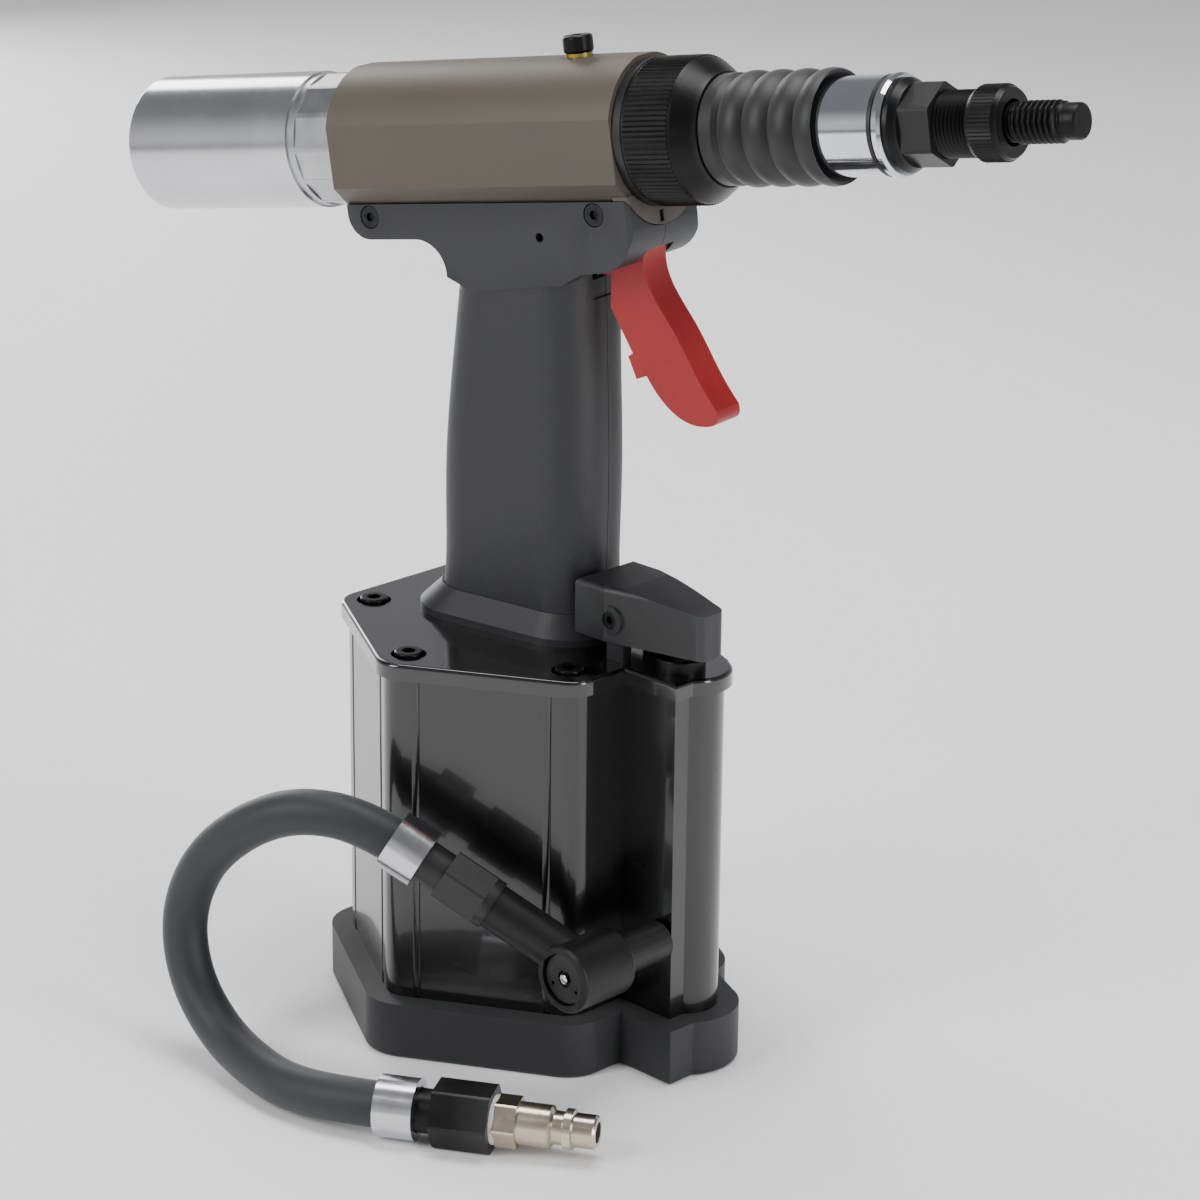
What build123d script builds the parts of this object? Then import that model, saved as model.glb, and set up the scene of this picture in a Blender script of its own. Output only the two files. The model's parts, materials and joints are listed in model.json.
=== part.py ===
from build123d import *
import math
import os

# Hydro-pneumatic rivet nut gun. Millimetres, +Z up. The origin is on the floor, on the axis of the
# air cylinder. The barrel lies in the XZ plane with its nose towards +X, tilted up by BARREL_TILT.
# The base is turned about Z by BASE_TURN from the barrel.

BARREL_TILT = 9.1
BASE_TURN = -8.8
BARREL_X = 12.5
BARREL_Z = 280.6

# Heights of the base
BOOT_HEIGHT = 18.0
BOOT_FLOOR = 4.0
BOTTOM_PLATE_TOP = 10.0
CYLINDER_TOP = 122.5
PLATE_TOP = 127.5

# Plan outline of the base
HEX_APOTHEM = 53.5
HEX_CORNER_RADIUS = 10.0
INSET = -2.4
LOBE_X = 65.0
LOBE_RADIUS = 13.0
SCREW_CIRCLE = 50.0
SCREW_RADIUS = 2.5
SCREW_HEAD_RADIUS = 4.3
SCREW_HEAD_HEIGHT = 4.5
COUNTERBORE_RADIUS = 5.4
CYLINDER_BORE = 42.0
VALVE_BORE = 7.0

# Grip
GRIP_HALF_WIDTH = 16.0
TUBE_RADIUS = 10.5
TUBE_BORE = 7.0
SADDLE_HALF_WIDTH = 17.5
SCREW_STATIONS = (-64.1, 20.4)
SCREW_LEVEL = -21.2
LUG_REAR = 28.0
LUG_CENTRE = -6.6
LUG_RADIUS = 20.3

# Barrel stations, measured along its axis, and radii
BODY_REAR = -73.0
BODY_FRONT = 33.0
BODY_HALF_WIDTH = 21.8
BODY_ROUND = 22.9
BODY_BOTTOM = -17.3
SLEEVE_REAR = -156.5
SLEEVE_FRONT = -91.0
SLEEVE_RADIUS = 20.9
MOTOR_CASE = 18.4
CAP_RADIUS = 21.6
CAP_KNURL_END = 52.0
CAP_FRONT = 59.0
HEAD_BORE = 15.0
MOTOR_BORE = 17.0
PULL_TUBE_RADIUS = 8.5
NOSE_RADIUS = 14.1
MANDREL_RADIUS = 6.0
MANDREL_ROOT = 5.1
MANDREL_TIP = 174.6
THREAD_START = 153.6
THREAD_END = 170.0

# Moving strokes
PULL_STROKE = 7.0
PISTON_STROKE = 50.0

# Trigger linkage
TRIGGER_X = 41.0
TRIGGER_Z = 253.5
ROD_X = 25.0
ROCKER_X = 47.0
ROCKER_Z = 141.0
ROCKER_HALF = 1.6

# Hose and its fittings, in the turned frame of the base
SWIVEL_X = 68.3
SWIVEL_Y = -41.0
SWIVEL_Z = 43.5
ARM_TURN = -150.0
ARM_RISE = 30.0
HOSE_RADIUS = 7.0
FERRULE_RADIUS = 9.3
HOSE_START = 59.0
ROUTE_MIDDLE = [
    (-10.0, -85.5, 84.5),
    (-27.0, -92.5, 76.0),
    (-42.0, -97.5, 61.0),
    (-48.0, -101.0, 41.5),
    (-41.0, -103.5, 23.0),
    (-25.0, -104.5, 10.0),
    (-3.0, -108.0, 7.4),
    (13.0, -109.0, 7.6),
]
LAY_X = 41.0
LAY_Y = -99.8
LAY_Z = 9.5
LAY_TURN = 30.5

GAP = 0.3
RUN_GAP = 0.05

HEAD = Location((BARREL_X, 0, BARREL_Z), (0, -BARREL_TILT, 0))
BASE = Location((0, 0, 0), (0, 0, BASE_TURN))
ARM = Pos(SWIVEL_X, SWIVEL_Y, SWIVEL_Z) * Rot(0, 0, ARM_TURN) * Rot(0, -ARM_RISE, 0)
LAY = Pos(LAY_X, LAY_Y, LAY_Z) * Rot(0, 0, LAY_TURN)


# ---------------------------------------------------------------- helpers
def spun(*points):
    """A solid of revolution about the local X axis from (station, radius) points."""
    face = make_face(Polyline(*points, close=True).edges())
    return revolve(face, Axis.X)


def ring(start, end, outer, inner=0.0):
    """A plain tube or rod along the local X axis."""
    length = end - start
    lay = Pos((start + end) / 2, 0, 0) * Rot(0, 90, 0)
    body = lay * Cylinder(outer, length)
    if inner > 0:
        body -= lay * Cylinder(inner, length + 2)
    return body


def upright(bottom, top, outer, inner=0.0):
    """A plain tube or rod along Z."""
    lay = Pos(0, 0, (bottom + top) / 2)
    body = lay * Cylinder(outer, top - bottom)
    if inner > 0:
        body -= lay * Cylinder(inner, top - bottom + 2)
    return body


def hexagon(flats, length):
    """A hexagonal bar along Z, centred, with chamfered corners."""
    corner = flats / math.sqrt(3)
    bar = extrude(RegularPolygon(corner, 6), length / 2, both=True)
    return bar & Cylinder(corner * 0.975, length)


def across(start, end, shape_radius_flats):
    """A hexagonal bar along the local X axis between two stations."""
    lay = Pos((start + end) / 2, 0, 0) * Rot(0, 90, 0)
    return lay * hexagon(shape_radius_flats, end - start)


def serrated(start, end, outer, depth, teeth):
    """A straight-knurled ring blank along the local X axis."""
    points = []
    for i in range(teeth):
        for share, radius in ((0.0, outer - depth), (0.5, outer)):
            turn = 2 * math.pi * (i + share) / teeth
            points.append((radius * math.cos(turn), radius * math.sin(turn)))
    face = make_face(Polyline(*points, close=True).edges())
    return Pos(start, 0, 0) * Rot(0, 90, 0) * extrude(face, end - start)


def threaded(start, end, crest, root, pitch):
    """A rod along the local X axis with a row of thread ridges."""
    points = [(start, 0), (start, root)]
    count = int((end - start) / pitch)
    for i in range(count):
        at = start + pitch * i
        points.append((at + pitch * 0.5, crest))
        points.append((at + pitch, root))
    points.append((end, root))
    points.append((end, 0))
    return spun(*[p for i, p in enumerate(points) if i == 0 or p != points[i - 1]])


def coil(bottom, top, radius, wire, turns):
    """A helical spring along Z with its ends inside the given heights."""
    height = top - bottom - 2 * wire
    path = Pos(0, 0, bottom + wire) * Helix(height / turns, height, radius)
    section = Plane(origin=path @ 0, z_dir=path % 0) * Circle(wire)
    return sweep(section, path)


def pin_across(x, z, radius, length):
    """A round pin along Y, centred on the plane of the barrel."""
    return Pos(x, 0, z) * Rot(90, 0, 0) * Cylinder(radius, length)


def inlet_round(start, end, radius):
    """A rod along Y on the swivel's axis, between two depths."""
    middle = (start + end) / 2
    return Pos(SWIVEL_X, middle, SWIVEL_Z) * Rot(90, 0, 0) * Cylinder(radius, abs(end - start))


def base_outline(grow):
    """The plan outline of the base: a rounded hexagon with a lobe towards +X."""
    blank = Rot(0, 0, 30) * RegularPolygon((HEX_APOTHEM + grow) * 2 / math.sqrt(3), 6)
    hexa = fillet(blank.vertices(), HEX_CORNER_RADIUS + grow)
    flank = -11.9 - grow
    sharp = Polyline((40, flank), (74.7 + grow, flank), (74.7 + grow, 0), (40, 0), close=True)
    back = Polyline((40, 0), (LOBE_X, 0), (69.5, 16.6 + grow), (51, 25 + grow), (40, 25), close=True)
    lobe = Pos(LOBE_X, 4.0) * Circle(LOBE_RADIUS + grow)
    return hexa + make_face(sharp.edges()) + make_face(back.edges()) + lobe


def screw_places():
    """The six screw centres on their circle."""
    for i in range(6):
        turn = math.radians(30 + 60 * i)
        yield SCREW_CIRCLE * math.cos(turn), SCREW_CIRCLE * math.sin(turn)


# ---------------------------------------------------------------- base
def base_boot():
    outer = extrude(base_outline(4.2), BOOT_HEIGHT)
    outer = fillet(outer.edges().group_by(Axis.Z)[0], 1.5)
    cavity = Pos(0, 0, BOOT_FLOOR) * extrude(base_outline(INSET), BOOT_HEIGHT)
    return outer - cavity


def bottom_plate():
    plate = Pos(0, 0, BOOT_FLOOR) * extrude(base_outline(INSET), BOTTOM_PLATE_TOP - BOOT_FLOOR)
    for x, y in screw_places():
        plate -= Pos(x, y, 0) * upright(BOOT_FLOOR + 1, BOTTOM_PLATE_TOP + 1, SCREW_RADIUS)
    return plate


def air_cylinder():
    body = Pos(0, 0, BOTTOM_PLATE_TOP) * extrude(base_outline(INSET), CYLINDER_TOP - BOTTOM_PLATE_TOP)
    body -= upright(BOTTOM_PLATE_TOP - 1, CYLINDER_TOP + 1, CYLINDER_BORE)
    for x, y in screw_places():
        body -= Pos(x, y, 0) * upright(BOTTOM_PLATE_TOP - 1, CYLINDER_TOP + 1, SCREW_RADIUS + GAP)
    for i in range(1, 6):
        for side in (-1, 1):
            flute = Pos(HEX_APOTHEM - 1.4, side * 20.5, 0)
            flute = flute * upright(BOTTOM_PLATE_TOP - 1, CYLINDER_TOP + 1, 1.6)
            body -= Rot(0, 0, 60 * i) * flute
    body -= Pos(LOBE_X, 0, 0) * upright(24, CYLINDER_TOP + 1, VALVE_BORE)
    return body - inlet_round(-2.0, -14.0, 3.6)


def top_plate():
    blank = Pos(0, 0, CYLINDER_TOP) * extrude(base_outline(0), PLATE_TOP - CYLINDER_TOP)
    blank = fillet(blank.edges().group_by(Axis.Z)[-1], 1.2)
    for x, y in screw_places():
        blank -= Pos(x, y, 0) * upright(CYLINDER_TOP - 1, PLATE_TOP + 1, SCREW_RADIUS + GAP)
        blank -= Pos(x, y, 0) * upright(PLATE_TOP - 3.4, PLATE_TOP + 1, COUNTERBORE_RADIUS)
    blank -= upright(CYLINDER_TOP - 1, PLATE_TOP + 1, TUBE_RADIUS)
    return blank - Pos(LOBE_X, 0, 0) * upright(CYLINDER_TOP - 1, PLATE_TOP + 1, VALVE_BORE)


def top_screws():
    """Six long socket-head screws that clamp the plates to the cylinder."""
    solids = []
    seat = PLATE_TOP - 3.4
    for x, y in screw_places():
        head = upright(seat, seat + SCREW_HEAD_HEIGHT, SCREW_HEAD_RADIUS)
        head = fillet(head.edges().group_by(Axis.Z)[-1], 0.6)
        head -= Pos(0, 0, seat + SCREW_HEAD_HEIGHT) * hexagon(4.0, 5.0)
        solids.append(Pos(x, y, 0) * (head + upright(BOOT_FLOOR + 1.2, seat, SCREW_RADIUS)))
    return Compound(solids)


def air_piston():
    body = upright(20, 29, CYLINDER_BORE - GAP) - upright(19, 30, 5.0)
    groove = upright(23, 26, CYLINDER_BORE + 1, CYLINDER_BORE - 3)
    return body - groove


def air_piston_seal():
    return upright(23, 26, CYLINDER_BORE - RUN_GAP, CYLINDER_BORE - 3)


def ram():
    return upright(12, 140, 5.0)


def piston_nut():
    return (Pos(0, 0, 16.5) * hexagon(14, 6.8)) - upright(12, 21, 5.0)


def air_spring():
    return coil(29.2, CYLINDER_TOP - 0.2, 18.0, 1.4, 6)


def ram_gland():
    """The bush that guides the ram at the foot of the pressure tube."""
    return upright(CYLINDER_TOP + 0.5, CYLINDER_TOP + 14, TUBE_BORE, 5.0 + RUN_GAP)


# ---------------------------------------------------------------- inlet valve
def valve_sleeve():
    sleeve = Pos(LOBE_X, 0, 0) * upright(24, 122, VALVE_BORE, 4.4)
    return sleeve - inlet_round(-1.0, -8.0, 2.0)


def valve_plug():
    """The round plug that closes the valve bore in the top plate's lobe."""
    plug = upright(122, PLATE_TOP, VALVE_BORE - 0.02) + upright(PLATE_TOP, PLATE_TOP + 4.6, 7.6)
    plug = fillet(plug.edges().group_by(Axis.Z)[-1], 0.8)
    return Pos(LOBE_X, 0, 0) * (plug - upright(121, PLATE_TOP + 6, 2.2 + RUN_GAP))


def valve_stem():
    top = ROCKER_Z - ROCKER_HALF - 0.5
    spools = upright(54, 62, 4.4 - RUN_GAP) + upright(84, 92, 4.4 - RUN_GAP)
    return Pos(LOBE_X, 0, 0) * (upright(50, top, 2.2) + spools)


def valve_rocker():
    """A two-armed lever: the trigger rod lifts its rear end and its nose presses the valve stem."""
    bar = Pos(49.5, 0, ROCKER_Z) * Box(40, 7, 2 * ROCKER_HALF)
    pad = Pos(25.5, 3.2, ROCKER_Z) * Box(12, 11, 2 * ROCKER_HALF)
    slot = Pos(24.7, 3.8, ROCKER_Z) * Box(5.4, 4.0, 8)
    return bar + pad + pin_across(ROCKER_X, ROCKER_Z, 3.4, 9) - slot - pin_across(ROCKER_X, ROCKER_Z, 1.55, 20)


def rocker_pin():
    pin = pin_across(ROCKER_X, ROCKER_Z, 1.5, 23)
    head = Pos(0, -11.2, 0) * pin_across(ROCKER_X, ROCKER_Z, 2.6, 1.6)
    socket = Pos(ROCKER_X, -12, ROCKER_Z) * Rot(90, 0, 0) * hexagon(2.4, 2)
    return pin + head - socket


def wedge(inset, low, top_rear, top_nose):
    """The hood's form: a wedge in plan with a top that falls towards the nose."""
    rear = 32.8 + inset
    nose = 78.4 - inset
    half_rear = 12.4 - inset
    half_nose = 4.6 - inset * 0.7
    plan = [(rear, -half_rear), (45, -half_rear), (nose, -half_nose)]
    plan += [(nose, half_nose), (45, half_rear), (rear, half_rear)]
    side = [(rear, low), (nose, low), (nose, top_nose), (50, top_rear), (rear, top_rear)]
    blank = extrude(make_face(Polyline(*plan, close=True).edges()), 200)
    return blank & extrude(Plane.XZ * make_face(Polyline(*side, close=True).edges()), 40, both=True)


def valve_cover():
    """The wedge-shaped hood over the rocker. Two inner legs stand on the top plate."""
    low = PLATE_TOP + 6.5
    outer = wedge(0, low, low + 17.0, low + 14.0)
    outer = fillet(outer.edges().filter_by(Axis.Z).group_by(Axis.X)[-1], 3.4)
    outer = fillet(outer.faces().filter_by(Axis.Z).sort_by(Axis.Z)[-1].edges(), 1.8)
    outer -= wedge(2.2, low - 1, low + 14.8, low + 11.8)
    outer -= Pos(34, 2.9, ROCKER_Z) * Box(4, 15, 16)
    for side in (-1, 1):
        outer += Pos(ROCKER_X, side * 7.8, (PLATE_TOP + low + 15.2) / 2) * Box(7, 3.4, low + 15.2 - PLATE_TOP)
        outer += Pos(0, side * 11.0, 0) * pin_across(ROCKER_X, ROCKER_Z, 4.6, 2.4)
    outer -= pin_across(ROCKER_X, ROCKER_Z, 1.5, 40)
    return outer - Pos(0, -11.6, 0) * pin_across(ROCKER_X, ROCKER_Z, 2.7, 2.4)


# ---------------------------------------------------------------- grip
def grip_section(height, rear, front, half_width, corner):
    middle = (rear + front) / 2
    return Pos(middle, 0, height) * RectangleRounded(front - rear, 2 * half_width, corner)


def grip_column():
    stations = [
        (133.0, -28.2, 31.0, 16.0),
        (140.0, -26.9, 30.0, 16.0),
        (175.0, -26.4, 30.0, 16.0),
        (200.0, -24.6, 29.6, 16.0),
        (224.0, -21.8, 28.8, 16.2),
        (238.0, -19.6, 28.4, 17.0),
        (250.0, -17.8, 28.2, 17.4),
    ]
    return loft([grip_section(height, rear, front, half, 13.4) for height, rear, front, half in stations])


def grip_flange():
    foot = grip_section(PLATE_TOP, -36.0, 34.0, 19.5, 17.5)
    rim = grip_section(PLATE_TOP + 2.2, -36.0, 34.0, 19.5, 17.5)
    neck = grip_section(PLATE_TOP + 9.5, -28.0, 30.8, 16.4, 13.8)
    return loft([foot, rim], ruled=True) + loft([rim, neck], ruled=True)


def saddle():
    """The cradle under the barrel, in the barrel's frame."""
    top = BODY_BOTTOM - 0.1
    with BuildSketch(Plane.XZ) as side:
        with BuildLine():
            Polyline((-47.5, -28.1), (-64.5, -28.1))
            ThreePointArc((-64.5, -28.1), (-70.2, -25.8), (-72.5, -20.4))
            Polyline((-72.5, -20.4), (-72.5, top), (BODY_FRONT, top), (BODY_FRONT, -26.5))
            ThreePointArc((BODY_FRONT, -26.5), (29.4, -34.6), (20.5, -38.2))
            Polyline((20.5, -38.2), (12.5, -38.9), (6, -42), (-28, -44), (-37, -39.5))
            ThreePointArc((-37, -39.5), (-39.6, -31.6), (-47.5, -28.1))
        make_face()
    block = extrude(side.sketch, SADDLE_HALF_WIDTH, both=True)
    for side in (-1, 1):
        block -= Pos(BODY_FRONT, side * SADDLE_HALF_WIDTH, -30) * Rot(0, 0, 45) * Box(1.8, 1.8, 60)
    return block


def grip_solid():
    whole = grip_column() + grip_flange() + HEAD * saddle()
    # room for the pressure tube, the trigger rod, the trigger and the rear of the rocker
    whole -= upright(PLATE_TOP - 1, 300, TUBE_RADIUS + 0.1)
    whole -= HEAD * (Pos(-10, 0, BODY_BOTTOM + 20) * Box(200, 80, 40))
    whole -= HEAD * ring(BODY_FRONT, 60, CAP_RADIUS + 0.5)
    whole -= Pos(ROD_X, 0, 193) * Box(5.0, 5.0, 112)
    whole -= BASE * (Pos(30, 2.7, ROCKER_Z) * Box(23, 14.8, 13.5))
    whole -= trigger_room()
    whole -= pin_across(TRIGGER_X, TRIGGER_Z, 2.0, 30)
    for x in SCREW_STATIONS:
        for side in (-1, 1):
            whole -= HEAD * (Pos(0, side * (SADDLE_HALF_WIDTH + 0.2), 0) * pin_across(x, SCREW_LEVEL, 3.6, 4))
            whole -= HEAD * (Pos(0, side * 11.8, 0) * pin_across(x, SCREW_LEVEL, 1.5, 8))
    whole -= HEAD * pin_across(-0.3, -27.7, 1.4, 60)
    return whole - HEAD * (Pos(0, 0, LUG_CENTRE) * ring(LUG_REAR - 0.1, 60, LUG_RADIUS + 0.25))


def trigger_room():
    """The slot that the trigger swings in, between the grip halves."""
    cradle = HEAD * (Pos(20.5, 0, -33) * Box(19.6, 13.2, 15.6))
    fork = Pos(27.5, 0, 246.6) * Box(15, 13.2, 13.2)
    throat = Pos(32.5, 0, 241) * Box(9, 13.2, 14)
    return cradle + fork + throat


def grip_half(side):
    half = grip_solid() & (Pos(0, side * 50.1, 200) * Box(400, 100, 400))
    return half.solids().sort_by(SortBy.VOLUME)[-1]


def grip_screws():
    """Four button screws, two on each side, that clamp the grip halves to the barrel's lug."""
    solids = []
    for x in SCREW_STATIONS:
        for side in (-1, 1):
            head = Pos(0, side * (SADDLE_HALF_WIDTH - 1.0), 0) * pin_across(x, SCREW_LEVEL, 3.3, 1.6)
            shank = Pos(0, side * 11.8, 0) * pin_across(x, SCREW_LEVEL, 1.5, 8)
            socket = Pos(x, side * SADDLE_HALF_WIDTH, SCREW_LEVEL) * Rot(90, 0, 0) * hexagon(2.6, 2.0)
            solids.append(HEAD * (head + shank - socket))
    return Compound(solids)


def pressure_tube():
    tube = upright(CYLINDER_TOP, 300, TUBE_RADIUS, TUBE_BORE)
    return tube - HEAD * (Pos(0, 0, BODY_BOTTOM + 50) * Box(200, 80, 100))


def trigger_rod():
    """The pull rod: a head over the trigger's fork and a foot under the rocker."""
    foot = ROCKER_Z - ROCKER_HALF - 0.65
    toe_top = TRIGGER_Z - 8.0
    rod = upright(foot - 2.6, foot, 2.9) + upright(foot, toe_top + 0.5, 1.6)
    return Pos(ROD_X, 0, 0) * (rod + upright(toe_top + 0.5, toe_top + 2.5, 3.0))


# ---------------------------------------------------------------- trigger
def trigger():
    """The finger lever, with a fork behind the pivot that lifts the pull rod."""
    with BuildSketch(Plane.XZ) as side:
        with BuildLine():
            Spline((45.6, 251.0), (45.8, 246.2), (57.0, 228.8), (66.6, 214.8), (72.4, 207.8))
            Spline((72.4, 207.8), (72.0, 203.6), (68.9, 202.4), (62.8, 202.3), (54.4, 206.4), (47.4, 214.0))
            Polyline((47.4, 214.0), (43.8, 212.4), (40.7, 218.9), (42.3, 220.1), (34.2, 232.7))
            Polyline((34.2, 232.7), (34.2, 251.0), (45.6, 251.0))
        make_face()
    blade = extrude(side.sketch, 5.8, both=True)
    toe = Pos(29.6, 0, TRIGGER_Z - 9.8) * Box(13.2, 9.6, 3.6)
    toe -= Pos(ROD_X, 0, TRIGGER_Z - 10) * Box(10.4, 4.0, 8)
    lever = blade + pin_across(TRIGGER_X, TRIGGER_Z, 5.2, 11.6) + toe
    return lever - pin_across(TRIGGER_X, TRIGGER_Z, 2.05, 40)


def trigger_pin():
    return pin_across(TRIGGER_X, TRIGGER_Z, 2.0, 30)


# ---------------------------------------------------------------- barrel
def body_profile():
    """The barrel's section: round above, flat cheeks, bevelled below. Local X is depth, Y is up."""
    cheek_top = 7.0
    top_half = 4.0
    lift = math.sqrt(BODY_ROUND**2 - top_half**2)
    cheek = math.sqrt(BODY_ROUND**2 - cheek_top**2)
    middle = BODY_ROUND * math.sqrt(0.5)
    with BuildSketch(Plane.YZ) as section:
        with BuildLine():
            Line((-top_half, lift), (top_half, lift))
            ThreePointArc((top_half, lift), (middle, middle), (cheek, cheek_top))
            Polyline((cheek, cheek_top), (BODY_HALF_WIDTH, -11.8), (16.5, BODY_BOTTOM))
            Line((16.5, BODY_BOTTOM), (-16.5, BODY_BOTTOM))
            Polyline((-16.5, BODY_BOTTOM), (-BODY_HALF_WIDTH, -11.8), (-cheek, cheek_top))
            ThreePointArc((-cheek, cheek_top), (-middle, middle), (-top_half, lift))
        make_face()
    return section.sketch


def head_body():
    body = Pos(BODY_REAR, 0, 0) * extrude(body_profile(), BODY_FRONT - BODY_REAR)
    body -= ring(BODY_REAR - 1, -34, MOTOR_BORE)
    body -= ring(-30, BODY_FRONT + 1, HEAD_BORE)
    body -= ring(-40, -20, 5.6)
    body -= Pos(8.9, 0, 20) * Cylinder(2.5, 12)
    lug = Pos(0, 0, LUG_CENTRE) * ring(LUG_REAR, BODY_FRONT + 0.4, LUG_RADIUS)
    lug -= Pos(LUG_REAR, 0, 14) * Box(20, 80, 60) + ring(BODY_FRONT, 60, 21.6)
    lug -= HEAD.inverse() * pin_across(TRIGGER_X, TRIGGER_Z, 5.8, 13.6)
    lug -= Pos(BODY_FRONT, -2, -24.2) * Box(4, 1.8, 3.4)
    body += lug
    return body - ring(-30, BODY_FRONT, HEAD_BORE)


def rear_collar():
    """The ring between the rear sleeve and the body, with flats milled round it."""
    ring_blank = ring(SLEEVE_FRONT, BODY_REAR, 20.3) + ring(BODY_REAR, -58, MOTOR_BORE - 0.02)
    for i in range(12):
        flat = Pos(-80.5, 0, 21.5) * Box(15.0, 9.0, 3.6)
        ring_blank -= Rot(30 * i + 15, 0, 0) * flat
    return ring_blank - ring(-100, -50, 14.6)


def rear_sleeve():
    tube = ring(SLEEVE_REAR, SLEEVE_FRONT, SLEEVE_RADIUS, MOTOR_CASE)
    return fillet(tube.edges().filter_by(GeomType.CIRCLE).group_by(Axis.X)[0], 0.8)


def rear_end_cap():
    cap = ring(SLEEVE_REAR + 1.5, SLEEVE_REAR + 6.5, MOTOR_CASE - 0.02)
    for i in range(12):
        cap -= Rot(30 * i, 0, 0) * (Pos(SLEEVE_REAR + 4, 0, 12.5) * Rot(0, 90, 0) * Cylinder(1.6, 9))
    cap -= Pos(SLEEVE_REAR + 1.5, 0, 0) * Rot(0, 90, 0) * hexagon(8.0, 4.0)
    return cap


def motor_cylinder():
    return ring(-144, -96, MOTOR_CASE - 0.02, 14.0)


def motor_end_plates():
    rear = ring(-148.5, -144, MOTOR_CASE - 0.02, 8.0)
    front = ring(-96, -91.0, MOTOR_CASE - 0.02, 8.0)
    return Compound([rear, front])


def motor_rotor():
    drum = ring(-143.5, -96.5, 11.0)
    shaft = ring(-149.5, -143.5, 4.0) + ring(-96.5, -76.0, 6.4)
    body = drum + shaft
    for i in range(5):
        body -= Rot(72 * i, 0, 0) * (Pos(-120, 0, 9.0) * Box(47.2, 1.8, 6.0))
    return body - across(-94.5, -75, 7.6)


def motor_vanes():
    vanes = []
    for i in range(5):
        vanes.append(Rot(72 * i, 0, 0) * (Pos(-120, 0, 9.8) * Box(46.4, 1.6, 7.2)))
    return Compound(vanes)


def motor_bearings():
    rear = ring(-148.5, -144, 8.0, 4.0 + RUN_GAP)
    front = ring(-96, -91.0, 8.0, 6.4 + RUN_GAP)
    return Compound([rear, front])


def drive_spindle():
    return across(-86.5, -40, 7.0) + ring(-40, 103, 4.8)


def hydraulic_piston():
    piston = ring(-12, 6, HEAD_BORE - GAP, 5.2)
    return piston - ring(-4.5, -1.5, HEAD_BORE + 1, 12.6)


def hydraulic_seal():
    return ring(-4.5, -1.5, HEAD_BORE - RUN_GAP, 12.6)


def pull_tube():
    return ring(6, 100, PULL_TUBE_RADIUS, 5.2)


def piston_spring():
    spring = coil(0, 9.6, 9.0, 1.2, 3)
    return Pos(-22.0, 0, 0) * Rot(0, 90, 0) * spring


def head_gland():
    return ring(22, BODY_FRONT, HEAD_BORE - 0.02, PULL_TUBE_RADIUS + RUN_GAP)


def head_gasket():
    return ring(BODY_FRONT, 36, 21.4, 17.0)


def head_cap():
    """The knurled front cap with a smooth cone that the nose sleeve screws into."""
    band = serrated(37, CAP_KNURL_END, CAP_RADIUS, 0.45, 90)
    cone = spun((36, 0), (36, 21.2), (37, 21.2), (CAP_KNURL_END, 21.2), (53, 20.8), (CAP_FRONT, 16.6), (CAP_FRONT, 0))
    body = band + cone
    return body - ring(35, 50, 9.2) - ring(49, 60, NOSE_RADIUS + 0.02)


def nose_bellows():
    """The rubber sleeve with four round ribs and a flared mouth."""
    inner = NOSE_RADIUS + 0.02
    with BuildSketch(Plane.XY) as section:
        with BuildLine():
            Polyline((59.4, inner), (59.4, 16.0), (63.6, 16.1), (65.2, 15.0))
            ThreePointArc((65.2, 15.0), (69.2, 16.6), (73.6, 15.0))
            ThreePointArc((73.6, 15.0), (78.0, 16.6), (82.2, 15.0))
            ThreePointArc((82.2, 15.0), (86.6, 16.6), (90.8, 15.0))
            ThreePointArc((90.8, 15.0), (94.4, 16.6), (97.4, 16.2))
            Polyline((97.4, 16.2), (97.0, 15.5), (92.5, inner), (59.4, inner))
        make_face()
    return revolve(section.sketch, Axis.X)


def nose_sleeve():
    """The chromed tube that carries the nosepiece, with an O-ring groove behind its rounded rim."""
    outside = [(50.2, 9.6), (50.2, 14.1), (114.5, 14.1), (114.5, 12.8), (115.7, 12.8), (115.7, 14.1)]
    rim = [(116.4, 14.6), (117.8, 14.6), (118.8, 13.9)]
    return spun(*outside, *rim, (118.8, 12.0), (56, 12.0), (56, 9.6))


def nose_oring():
    return ring(114.52, 115.68, 14.3, 12.8)


def nose_housing():
    """The black neck bush inside the sleeve that the nosepiece screws into."""
    neck = spun((118.8, 9.45), (118.8, 13.3), (120.4, 13.2), (122.6, 11.8), (122.6, 9.45))
    return neck + ring(104.4, 118.8, 11.98, 9.45)


def nose_lock_nut():
    return across(122.6, 132.4, 21.0) - ring(120, 140, 9.45)


def nosepiece():
    """The threaded anvil with a knurled head that the rivet nut seats against."""
    thread = threaded(106.0, 143.5, 9.4, 8.8, 1.25)
    blank = spun((143, 0), (143, 9.7), (144.4, 10.4), (151.6, 10.4), (153.0, 9.6), (153.0, 0))
    return thread + blank + serrated(144.4, 151.6, 10.7, 0.3, 60) - ring(100, 156, 6.5)


def mandrel():
    """The screw that pulls the rivet nut. Its thread is left plain at its outside size."""
    shank = across(103.0, 107.8, 8.2) + ring(105.5, THREAD_START, 5.5)
    thread = ring(THREAD_START, THREAD_END, MANDREL_RADIUS)
    shoulder = MANDREL_TIP - 0.6
    root = MANDREL_ROOT
    tip = spun((THREAD_END, 0), (THREAD_END, root), (shoulder, root), (MANDREL_TIP, 4.5), (MANDREL_TIP, 0))
    return shank + thread + tip


def bleed_screw():
    head = Pos(8.9, 0, 0) * upright(23.6, 28.8, 4.5)
    head = fillet(head.edges().filter_by(GeomType.CIRCLE), 0.9)
    head -= Pos(8.9, 0, 28.8) * hexagon(3.0, 4.0)
    return head + Pos(8.9, 0, 0) * upright(16.2, 23.7, 2.48)


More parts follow.
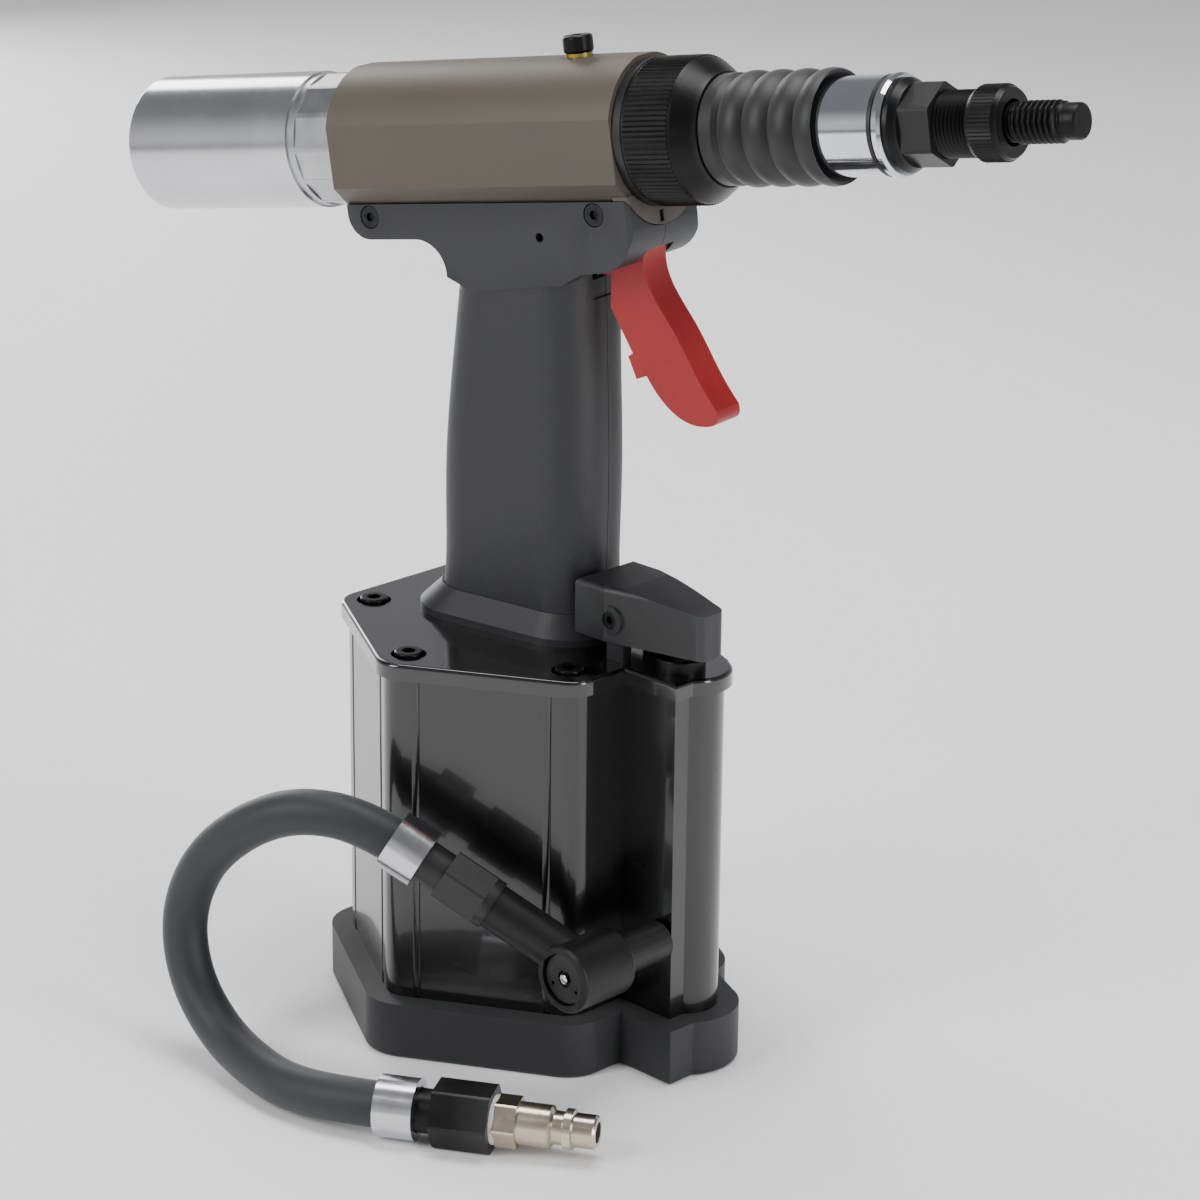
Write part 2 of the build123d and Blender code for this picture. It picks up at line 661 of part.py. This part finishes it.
def bleed_washer():
    return Pos(8.9, 0, 0) * upright(22.56, 23.6, 4.0, 2.6)


# ---------------------------------------------------------------- inlet and hose, in the base's frame
def inlet_pipe():
    neck = inlet_round(-7.2, -9.5, 3.58) + inlet_round(-9.5, -11.0, 4.0)
    return neck + inlet_round(-11.0, -30.6, 6.2) + inlet_round(-30.6, -48.6, 5.0)


def swivel_body():
    """The elbow that turns on the inlet pipe, with its arm towards the hose."""
    barrel = inlet_round(-31.0, -52.0, 10.4)
    barrel = fillet(barrel.edges().filter_by(GeomType.CIRCLE), 1.0)
    body = barrel + ARM * (ring(2, 34, 7.0) + ring(34, 37, 7.8))
    return body - inlet_round(-30.0, -49.0, 5.0 + RUN_GAP) - inlet_round(-48.2, -54.0, 8.0)


def swivel_retainer():
    """The ring fixed on the end of the inlet pipe that keeps the swivel on."""
    disc = inlet_round(-48.6, -50.8, 7.6)
    for turn in (-60, 60):
        hole = Pos(5.6 * math.sin(math.radians(turn)), 0, -5.6 * math.cos(math.radians(turn)))
        disc -= hole * inlet_round(-49.8, -53, 0.6)
    return disc - inlet_round(-50.0, -53.0, 2.6) + inlet_round(-49.6, -51.2, 1.6)


def hose_nut():
    return ARM * across(37.0, 51.0, 15.5)


def hose_barb():
    return ARM * ring(51.0, HOSE_START, 6.4)


def hose_ferrules():
    upper = ARM * ring(HOSE_START - 0.5, 70.0, FERRULE_RADIUS, HOSE_RADIUS)
    lower = LAY * ring(0.0, 12.0, FERRULE_RADIUS, HOSE_RADIUS)
    return Compound([upper, lower])


def route():
    """The corners of the hose's path, from the neck of the barb to the neck of the adaptor."""
    corners = [(ARM * Pos(HOSE_START, 0, 0)).position, (ARM * Pos(HOSE_START + 20, 0, 0)).position]
    corners += [Vector(*corner) for corner in ROUTE_MIDDLE]
    return corners + [(LAY * Pos(-8, 0, 0)).position, (LAY * Pos(12, 0, 0)).position]


def bend_radii(corners):
    radii = []
    for before, here, after in zip(corners, corners[1:], corners[2:]):
        turn = math.radians((here - before).get_angle(after - here))
        shorter = min((here - before).length, (after - here).length)
        radii.append(0.45 * shorter / math.tan(turn / 2))
    return radii


def hose():
    corners = route()
    radii = bend_radii(corners)
    path = FilletPolyline(*corners, radius=radii)
    section = Plane(origin=path @ 0, z_dir=path % 0) * Circle(HOSE_RADIUS)
    tube = sweep(section, path)
    filled = tube.volume / (math.pi * HOSE_RADIUS**2 * path.length)
    print("hose radii", [round(radius, 1) for radius in radii])
    print("hose length", round(path.length, 1), "volume over section times length", round(filled, 4))
    return tube


def adaptor():
    """The black hexagonal adaptor with its neck, at the loose end of the hose."""
    body = ring(12.0, 17.4, 6.6) + Rot(30, 0, 0) * across(17.4, 35.0, 18.4)
    return LAY * (body - ring(30, 36, 4.0))


def sealing_washer():
    return LAY * ring(35.0, 36.2, 7.4, 4.0)


def air_plug():
    """The plated quick-connect plug."""
    thread = ring(30.5, 38.0, 3.98)
    collar = Rot(30, 0, 0) * across(36.2, 42.8, 14.0)
    profile = [(42.8, 0), (42.8, 6.4), (52.4, 6.4), (53.4, 5.0), (56.4, 5.0), (56.8, 6.1), (59.2, 6.1)]
    profile += [(59.6, 5.1), (65.6, 5.1), (66.3, 4.5), (66.3, 0)]
    nose = spun(*profile)
    return LAY * (thread + collar + nose - ring(30, 70, 3.2))


# ---------------------------------------------------------------- the whole
BASE_NODES = {
    "base_boot": base_boot,
    "bottom_plate": bottom_plate,
    "air_cylinder": air_cylinder,
    "top_plate": top_plate,
    "top_screws": top_screws,
    "air_piston": air_piston,
    "air_piston_seal": air_piston_seal,
    "ram": ram,
    "piston_nut": piston_nut,
    "air_spring": air_spring,
    "ram_gland": ram_gland,
    "valve_sleeve": valve_sleeve,
    "valve_plug": valve_plug,
    "valve_stem": valve_stem,
    "valve_rocker": valve_rocker,
    "rocker_pin": rocker_pin,
    "valve_cover": valve_cover,
    "inlet_pipe": inlet_pipe,
    "swivel_body": swivel_body,
    "swivel_retainer": swivel_retainer,
    "hose_nut": hose_nut,
    "hose_barb": hose_barb,
    "hose_ferrules": hose_ferrules,
    "hose": hose,
    "adaptor": adaptor,
    "sealing_washer": sealing_washer,
    "air_plug": air_plug,
}
GRIP_NODES = {
    "grip_left": lambda: grip_half(-1),
    "grip_right": lambda: grip_half(1),
    "grip_screws": grip_screws,
    "pressure_tube": pressure_tube,
    "trigger_rod": trigger_rod,
    "trigger": trigger,
    "trigger_pin": trigger_pin,
}
HEAD_NODES = {
    "head_body": head_body,
    "rear_collar": rear_collar,
    "rear_sleeve": rear_sleeve,
    "rear_end_cap": rear_end_cap,
    "motor_cylinder": motor_cylinder,
    "motor_end_plates": motor_end_plates,
    "motor_rotor": motor_rotor,
    "motor_vanes": motor_vanes,
    "motor_bearings": motor_bearings,
    "drive_spindle": drive_spindle,
    "hydraulic_piston": hydraulic_piston,
    "hydraulic_seal": hydraulic_seal,
    "pull_tube": pull_tube,
    "piston_spring": piston_spring,
    "head_gland": head_gland,
    "head_gasket": head_gasket,
    "head_cap": head_cap,
    "nose_bellows": nose_bellows,
    "nose_sleeve": nose_sleeve,
    "nose_oring": nose_oring,
    "nose_housing": nose_housing,
    "nose_lock_nut": nose_lock_nut,
    "nosepiece": nosepiece,
    "mandrel": mandrel,
    "bleed_screw": bleed_screw,
    "bleed_washer": bleed_washer,
}

os.makedirs("parts", exist_ok=True)
for nodes, place in ((BASE_NODES, BASE), (GRIP_NODES, Location()), (HEAD_NODES, HEAD)):
    for name, build in nodes.items():
        export_step(place * build(), f"parts/{name}.step")
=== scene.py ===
import json
import math

import bmesh
import bpy
from mathutils import Matrix, Vector

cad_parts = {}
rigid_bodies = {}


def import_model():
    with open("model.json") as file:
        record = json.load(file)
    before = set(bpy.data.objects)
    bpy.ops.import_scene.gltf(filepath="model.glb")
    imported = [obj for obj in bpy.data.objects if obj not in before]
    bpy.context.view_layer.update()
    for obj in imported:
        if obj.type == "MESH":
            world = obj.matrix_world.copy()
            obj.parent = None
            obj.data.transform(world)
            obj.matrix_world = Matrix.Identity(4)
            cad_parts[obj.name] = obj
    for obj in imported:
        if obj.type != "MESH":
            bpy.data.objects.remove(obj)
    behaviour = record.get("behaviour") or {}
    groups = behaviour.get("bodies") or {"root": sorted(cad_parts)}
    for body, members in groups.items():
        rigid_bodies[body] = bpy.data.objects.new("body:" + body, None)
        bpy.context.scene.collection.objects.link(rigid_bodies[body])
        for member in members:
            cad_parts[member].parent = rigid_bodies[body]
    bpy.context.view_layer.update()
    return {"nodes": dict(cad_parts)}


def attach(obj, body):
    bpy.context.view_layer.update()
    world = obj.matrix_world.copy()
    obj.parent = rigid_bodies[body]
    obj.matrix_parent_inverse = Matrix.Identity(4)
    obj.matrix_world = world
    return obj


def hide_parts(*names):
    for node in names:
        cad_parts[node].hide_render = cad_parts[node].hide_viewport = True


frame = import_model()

# The barrel's axis: its foot and its direction, and the turn of the base about Z.
TILT = math.radians(9.1)
TURN = math.radians(-8.8)
BARREL_FOOT = Vector((0.0125, 0, 0.2806))
BARREL = Matrix.Translation(BARREL_FOOT) @ Matrix.Rotation(-TILT, 4, "Y")
BASE = Matrix.Rotation(TURN, 4, "Z")
ARM = BASE @ Matrix.Translation((0.0683, -0.041, 0.0435)) @ Matrix.Rotation(math.radians(-150), 4, "Z")
ARM = ARM @ Matrix.Rotation(math.radians(-30), 4, "Y")
LAY = BASE @ Matrix.Translation((0.041, -0.0998, 0.0095)) @ Matrix.Rotation(math.radians(30.5), 4, "Z")


# ---------------------------------------------------------------- camera, light and floor
def camera():
    place = Vector((0.6792, -0.9017, 0.5321))
    azimuth = math.radians(35.9)
    elevation = math.radians(19.4)
    roll = math.radians(0.63)
    back = Vector((math.sin(azimuth) * math.cos(elevation), -math.cos(azimuth) * math.cos(elevation),
                   math.sin(elevation)))
    level = Vector((math.cos(azimuth), math.sin(azimuth), 0))
    upward = back.cross(level)
    right = math.cos(roll) * level + math.sin(roll) * upward
    upright = -math.sin(roll) * level + math.cos(roll) * upward
    data = bpy.data.cameras.new("camera")
    data.lens = 116.5
    data.sensor_width = 36
    data.shift_x = 0.0017
    data.shift_y = -0.005
    data.clip_start = 0.05
    obj = bpy.data.objects.new("camera", data)
    obj.matrix_world = Matrix.Translation(place) @ Matrix((right, upright, back)).transposed().to_4x4()
    bpy.context.scene.collection.objects.link(obj)
    bpy.context.scene.camera = obj


def area_light(name, place, target, size, power, color=(1, 1, 1)):
    data = bpy.data.lights.new(name, "AREA")
    data.shape = "RECTANGLE"
    data.size = size[0]
    data.size_y = size[1]
    data.energy = power
    data.color = color
    obj = bpy.data.objects.new(name, data)
    obj.location = place
    obj.rotation_euler = (Vector(target) - Vector(place)).to_track_quat("-Z", "Y").to_euler()
    bpy.context.scene.collection.objects.link(obj)


def studio():
    area_light("key", (-0.5, -1.3, 1.0), (0, 0, 0.2), (0.5, 0.9), 15)
    area_light("right_strip", (1.5, -0.1, 0.6), (0, 0, 0.15), (0.35, 1.2), 12)
    area_light("top", (0.0, 0.2, 1.7), (0, 0, 0.1), (1.2, 0.8), 26)
    area_light("left_rim", (-1.3, 0.7, 0.6), (0, 0, 0.2), (0.4, 1.2), 12)
    world = bpy.data.worlds.new("studio")
    bpy.context.scene.world = world
    world.use_nodes = True
    nodes = world.node_tree.nodes
    links = world.node_tree.links
    where = nodes.new("ShaderNodeTexCoord")
    split = nodes.new("ShaderNodeSeparateXYZ")
    sky = nodes.new("ShaderNodeValToRGB")
    sky.color_ramp.elements[0].position = 0.12
    sky.color_ramp.elements[0].color = (0.9, 0.9, 0.91, 1)
    sky.color_ramp.elements[1].position = 0.5
    sky.color_ramp.elements[1].color = (0.30, 0.30, 0.32, 1)
    links.new(where.outputs["Generated"], split.inputs["Vector"])
    links.new(split.outputs["Z"], sky.inputs["Fac"])
    links.new(sky.outputs["Color"], nodes["Background"].inputs["Color"])
    nodes["Background"].inputs["Strength"].default_value = 0.8


def floor():
    mesh = bpy.data.meshes.new("floor")
    reach = 4.0
    mesh.from_pydata([(-reach, -reach, 0), (reach, -reach, 0), (reach, reach, 0), (-reach, reach, 0)], [],
                     [(0, 1, 2, 3)])
    obj = bpy.data.objects.new("floor", mesh)
    bpy.context.scene.collection.objects.link(obj)
    obj.data.materials.append(finish("floor_paper", (250, 250, 250), 0.9, tone=0.0, mottle=3, grain=(300,
                                                                                                     0.0), specular=0.1))


# ---------------------------------------------------------------- materials
def linear(color):
    """Display RGB from 0 to 255 as linear RGBA."""
    parts = [c / 255 for c in color]
    return [p / 12.92 if p <= 0.04045 else ((p + 0.055) / 1.055) ** 2.4 for p in parts] + [1]


def finish(name, color, rough, metallic=0.0, tone=0.10, mottle=60, grain=(900, 0.05), streak=None,
           turned=None,
           wear=0.0, coat=0.0, sheen=0.0, rough_spread=0.06, specular=0.5):
    """A procedural surface: mottled colour, grain in the bump, brushed or turned marks, and worn edges."""
    material = bpy.data.materials.new(name)
    material.use_nodes = True
    nodes = material.node_tree.nodes
    links = material.node_tree.links
    shader = nodes["Principled BSDF"]
    shader.inputs["Metallic"].default_value = metallic
    shader.inputs["Coat Weight"].default_value = coat
    shader.inputs["Coat Roughness"].default_value = 0.06
    shader.inputs["Sheen Weight"].default_value = sheen
    shader.inputs["Specular IOR Level"].default_value = specular
    where = nodes.new("ShaderNodeTexCoord")

    blotches = nodes.new("ShaderNodeTexNoise")
    blotches.inputs["Scale"].default_value = mottle
    blotches.inputs["Detail"].default_value = 4
    blotches.inputs["Roughness"].default_value = 0.6
    links.new(where.outputs["Object"], blotches.inputs["Vector"])
    base = linear(color)
    dark = [c * (1 - tone) for c in base[:3]] + [1]
    light = [min(1, c * (1 + tone)) for c in base[:3]] + [1]
    ramp = nodes.new("ShaderNodeValToRGB")
    ramp.color_ramp.elements[0].position = 0.3
    ramp.color_ramp.elements[0].color = dark
    ramp.color_ramp.elements[1].position = 0.7
    ramp.color_ramp.elements[1].color = light
    links.new(blotches.outputs["Fac"], ramp.inputs["Fac"])
    shade = ramp.outputs["Color"]
    if wear:
        geometry = nodes.new("ShaderNodeNewGeometry")
        edges = nodes.new("ShaderNodeMapRange")
        edges.inputs["From Min"].default_value = 0.53
        edges.inputs["From Max"].default_value = 0.62
        edges.inputs["To Max"].default_value = wear
        links.new(geometry.outputs["Pointiness"], edges.inputs["Value"])
        rubbed = nodes.new("ShaderNodeMix")
        rubbed.data_type = "RGBA"
        rubbed.inputs["B"].default_value = [min(1, c * 2.6 + 0.03) for c in base[:3]] + [1]
        links.new(edges.outputs["Result"], rubbed.inputs["Factor"])
        links.new(shade, rubbed.inputs["A"])
        shade = rubbed.outputs["Result"]
    links.new(shade, shader.inputs["Base Color"])

    uneven = nodes.new("ShaderNodeMapRange")
    uneven.inputs["To Min"].default_value = max(0.02, rough - rough_spread)
    uneven.inputs["To Max"].default_value = min(1, rough + rough_spread)
    links.new(blotches.outputs["Fac"], uneven.inputs["Value"])
    links.new(uneven.outputs["Result"], shader.inputs["Roughness"])

    pores = nodes.new("ShaderNodeTexNoise")
    pores.inputs["Scale"].default_value = grain[0]
    pores.inputs["Detail"].default_value = 3
    links.new(where.outputs["Object"], pores.inputs["Vector"])
    height = pores.outputs["Fac"]
    for marks in (streak, turned):
        if marks:
            turn, stretch, share = marks
            lay = nodes.new("ShaderNodeMapping")
            lay.vector_type = "TEXTURE"
            lay.inputs["Rotation"].default_value = turn
            lay.inputs["Scale"].default_value = stretch
            links.new(where.outputs["Object"], lay.inputs["Vector"])
            lines = nodes.new("ShaderNodeTexNoise")
            lines.inputs["Scale"].default_value = 1.0
            lines.inputs["Detail"].default_value = 5
            lines.inputs["Roughness"].default_value = 0.7
            links.new(lay.outputs["Vector"], lines.inputs["Vector"])
            both = nodes.new("ShaderNodeMix")
            both.inputs["Factor"].default_value = share
            links.new(height, both.inputs["A"])
            links.new(lines.outputs["Fac"], both.inputs["B"])
            height = both.outputs["Result"]
    bump = nodes.new("ShaderNodeBump")
    bump.inputs["Strength"].default_value = 1.0
    bump.inputs["Distance"].default_value = grain[1] * 0.001
    links.new(height, bump.inputs["Height"])
    links.new(bump.outputs["Normal"], shader.inputs["Normal"])
    return material


BARREL_TURN = (0, -TILT, 0)
TURNED = (BARREL_TURN, (0.0004, 0.5, 0.5), 0.7)
UPRIGHT = ((0, 0, 0), (0.0012, 0.0012, 0.2), 0.6)


def make_materials():
    return {
        "boot": finish("boot_rubber", (19, 20, 22), 0.62, tone=0.18, mottle=45, grain=(1400, 0.05),
                       sheen=0.1, wear=0.25),
        "cylinder": finish("cylinder_paint", (8, 8, 9), 0.26, tone=0.15, mottle=30, grain=(260, 0.012),
                           streak=UPRIGHT, coat=0.6),
        "plate": finish("plate_paint", (6, 6, 7), 0.17, tone=0.2, mottle=70, grain=(180, 0.012), coat=0.8,
                        wear=0.15),
        "screw": finish("screw_black", (12, 12, 12), 0.34, metallic=0.7, tone=0.3, mottle=300, grain=(900,
                                                                                                      0.03), wear=0.5),
        "cover": finish("cover_plastic", (22, 23, 24), 0.46, tone=0.12, mottle=90, grain=(1500, 0.05),
                        wear=0.3),
        "grip": finish("grip_nylon", (26, 27, 29), 0.5, tone=0.07, mottle=25, grain=(1800, 0.06), wear=0.2),
        "trigger": finish("trigger_red", (140, 4, 9), 0.42, tone=0.08, mottle=40, grain=(1300, 0.04),
                          wear=0.15),
        "body": finish("body_cast", (66, 60, 53), 0.48, metallic=0.35, tone=0.08, mottle=35, grain=(1500,
                                                                                                    0.05), wear=0.35),
        "tube": finish("tube_aluminium", (205, 206, 208), 0.2, metallic=1.0, tone=0.06, mottle=40,
                       grain=(700, 0.02),
                       turned=TURNED),
        "collar": finish("collar_aluminium", (180, 181, 182), 0.3, metallic=1.0, tone=0.1, mottle=120,
                         grain=(900, 0.03),
                         turned=TURNED),
        "black_steel": finish("black_oxide", (11, 11, 12), 0.36, metallic=0.6, tone=0.25, mottle=120,
                              grain=(800, 0.03), wear=0.6),
        "nut": finish("nut_oxide", (16, 16, 16), 0.4, metallic=0.7, tone=0.25, mottle=160, grain=(700,
                                                                                                  0.04), wear=0.7),
        "bellows": finish("bellows_rubber", (5, 5, 5), 0.5, tone=0.2, mottle=80, grain=(1300, 0.05),
                          sheen=0.15),
        "chrome": finish("chrome_plate", (214, 216, 219), 0.09, metallic=1.0, tone=0.04, mottle=50,
                         grain=(420, 0.012)),
        "seal": finish("seal_rubber", (6, 6, 6), 0.45, tone=0.2, mottle=200, grain=(900, 0.02)),
        "brass": finish("dull_brass", (168, 150, 70), 0.34, metallic=1.0, tone=0.15, mottle=300,
                        grain=(900, 0.03)),
        "zinc": finish("bright_zinc", (206, 207, 209), 0.2, metallic=1.0, tone=0.08, mottle=150,
                       grain=(600, 0.03),
                       streak=((0, 0, 0), (0.02, 0.02, 0.0006), 0.5)),
        "nickel": finish("warm_nickel", (196, 184, 168), 0.24, metallic=1.0, tone=0.1, mottle=150,
                         grain=(600, 0.03), wear=0.2),
        "swivel": finish("swivel_casting", (20, 20, 21), 0.42, metallic=0.4, tone=0.15, mottle=110,
                         grain=(900, 0.06), wear=0.5),
        "hose": finish("hose_rubber", (22, 26, 29), 0.56, tone=0.1, mottle=60, grain=(1500, 0.05),
                       sheen=0.15),
        "white": finish("white_nylon", (222, 222, 219), 0.45, tone=0.03, mottle=90, grain=(900, 0.03)),
        "steel": finish("ground_steel", (150, 152, 154), 0.28, metallic=1.0, tone=0.12, mottle=120,
                        grain=(800, 0.03)),
    }


CAD_FINISH = {
    "boot": ["base_boot"],
    "cylinder": ["air_cylinder", "bottom_plate"],
    "plate": ["top_plate"],
    "screw": ["top_screws", "grip_screws", "rocker_pin", "valve_plug"],
    "cover": ["valve_cover", "motor_vanes"],
    "grip": ["grip_left", "grip_right"],
    "trigger": ["trigger"],
    "body": ["head_body"],
    "tube": ["rear_sleeve", "rear_end_cap"],
    "collar": ["rear_collar", "valve_sleeve", "air_piston"],
    "black_steel": ["head_cap", "nose_housing", "nosepiece", "adaptor", "bleed_screw"],
    "nut": ["nose_lock_nut"],
    "bellows": ["nose_bellows"],
    "chrome": ["nose_sleeve"],
    "seal": ["head_gasket", "nose_oring", "hydraulic_seal", "air_piston_seal"],
    "brass": ["bleed_washer", "head_gland", "ram_gland"],
    "zinc": ["hose_ferrules", "piston_nut"],
    "nickel": ["air_plug"],
    "swivel": ["inlet_pipe", "swivel_body", "swivel_retainer", "hose_nut", "hose_barb"],
    "white": ["sealing_washer"],
    "steel": ["ram", "air_spring", "valve_stem", "valve_rocker", "pressure_tube", "trigger_rod",
              "trigger_pin",
              "motor_cylinder", "motor_end_plates", "motor_rotor", "motor_bearings", "drive_spindle", "hydraulic_piston",
              "pull_tube", "piston_spring"],
}


def dress(materials):
    """Gives every CAD node its material."""
    for key, names in CAD_FINISH.items():
        for name in names:
            obj = frame["nodes"][name]
            for part in [obj] + list(obj.children_recursive):
                if part.type == "MESH":
                    part.data.materials.clear()
                    part.data.materials.append(materials[key])


# ---------------------------------------------------------------- mesh helpers
def new_piece(name, bm, material, body, stands_for=()):
    """Makes an object from the bmesh, smooths it and lets it ride on the body."""
    mesh = bpy.data.meshes.new(name)
    bmesh.ops.recalc_face_normals(bm, faces=bm.faces)
    for face in bm.faces:
        face.smooth = True
    for edge in bm.edges:
        if len(edge.link_faces) == 2 and edge.calc_face_angle(0) > math.radians(35):
            edge.smooth = False
    bm.to_mesh(mesh)
    bm.free()
    obj = bpy.data.objects.new(name, mesh)
    bpy.context.scene.collection.objects.link(obj)
    mesh.materials.append(material)
    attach(obj, body)
    if stands_for:
        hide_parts(*stands_for)
    return obj


def grid_faces(bm, rows, closed=True):
    """Joins rows of vertices into quads, each row closed round."""
    for a, b in zip(rows, rows[1:]):
        count = len(a)
        for i in range(count if closed else count - 1):
            j = (i + 1) % count
            bm.faces.new((a[i], a[j], b[j], b[i]))


def lathe(bm, profile, place, around=64):
    """A surface of revolution about the local X axis from (station, radius) points in metres."""
    rows = []
    for at, radius in profile:
        row = []
        for i in range(around):
            turn = 2 * math.pi * i / around
            row.append(bm.verts.new(place @ Vector((at, radius * math.cos(turn), radius * math.sin(turn)))))
        rows.append(row)
    grid_faces(bm, rows)
    return rows


def helical(bm, start, end, root, crest, pitch, place, around=48, per_turn=12):
    """A rod surface with a real helical thread, faded out at both ends."""
    steps = int((end - start) / pitch * per_turn)
    rows = []
    for k in range(steps + 1):
        at = start + (end - start) * k / steps
        fade = min(1, (at - start) / pitch, (end - at) / pitch)
        row = []
        for i in range(around):
            turn = 2 * math.pi * i / around
            phase = ((at - start) / pitch - i / around) % 1.0
            ridge = 1 - abs(2 * phase - 1)
            ridge = min(1, max(0, ridge * 1.35 - 0.15))
            radius = root + (crest - root) * ridge * fade
            row.append(bm.verts.new(place @ Vector((at, radius * math.cos(turn), radius * math.sin(turn)))))
        rows.append(row)
    grid_faces(bm, rows)
    return rows


# ---------------------------------------------------------------- pieces
def make_mandrel(materials):
    """The mandrel with its helical thread and its plain, chamfered tip."""
    bm = bmesh.new()
    shank = lathe(bm, [(0.1031, 0.001), (0.1031, 0.0046), (0.1078, 0.0046), (0.108, 0.00545), (0.1534,
                                                                                               0.00545), (0.1536, 0.0051)],
                  BARREL, 48)
    thread = helical(bm, 0.1538, 0.1700, 0.0051, 0.00598, 0.00175, BARREL)
    tip = lathe(bm, [(0.1702, 0.0051), (0.1738, 0.0051), (0.1742, 0.00495), (0.17455, 0.0045), (0.17458,
                                                                                                0.0008)], BARREL, 48)
    grid_faces(bm, [shank[-1], thread[0]])
    grid_faces(bm, [thread[-1], tip[0]])
    bm.faces.new(tip[-1])
    bm.faces.new(list(reversed(shank[0])))
    new_piece("mandrel_screw", bm, materials["nut"], "spindle", ["mandrel"])


def make_swivel_stud(materials):
    """The bright domed end of the stud in the middle of the swivel's retainer."""
    place = BASE @ Matrix.Translation((0.0683, -0.0511, 0.0435)) @ Matrix.Rotation(math.radians(-90), 4, "Z")
    bm = bmesh.new()
    dome = [(-0.0006, 0.00005), (-0.0006, 0.0015), (0.0002, 0.0015), (0.0004, 0.0012), (0.00048, 0.0007),
            (0.0005, 0.00005)]
    rows = lathe(bm, dome, place, 32)
    bm.faces.new(rows[-1])
    bm.faces.new(list(reversed(rows[0])))
    new_piece("swivel_stud", bm, materials["zinc"], "housing")


def make_hose(materials):
    """The whip hose on one smooth spline, through the same points as its solid."""
    corners = [(-0.010, -0.0855, 0.0845), (-0.027, -0.0925, 0.076), (-0.042, -0.0975, 0.061), (-0.048,
                                                                                               -0.101, 0.0415)]
    corners += [(-0.041, -0.1035, 0.023), (-0.025, -0.1045, 0.010), (-0.003, -0.108, 0.0074), (0.013,
                                                                                               -0.109, 0.0076)]
    points = [ARM @ Vector((0.059, 0, 0)), ARM @ Vector((0.079, 0, 0))]
    points += [BASE @ Vector(corner) for corner in corners]
    points += [LAY @ Vector((-0.008, 0, 0)), LAY @ Vector((0.012, 0, 0))]
    curve = bpy.data.curves.new("whip_hose", "CURVE")
    curve.dimensions = "3D"
    curve.bevel_depth = 0.007
    curve.bevel_resolution = 8
    curve.use_fill_caps = True
    spline = curve.splines.new("NURBS")
    spline.points.add(len(points) - 1)
    for point, place in zip(spline.points, points):
        point.co = (*place, 1)
    spline.order_u = 3
    spline.use_endpoint_u = True
    spline.resolution_u = 24
    curve.materials.append(materials["hose"])
    obj = bpy.data.objects.new("whip_hose", curve)
    bpy.context.scene.collection.objects.link(obj)
    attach(obj, "hose_set")
    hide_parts("hose")


camera()
materials = make_materials()
make_hose(materials)
studio()
floor()
dress(materials)
make_mandrel(materials)
make_swivel_stud(materials)
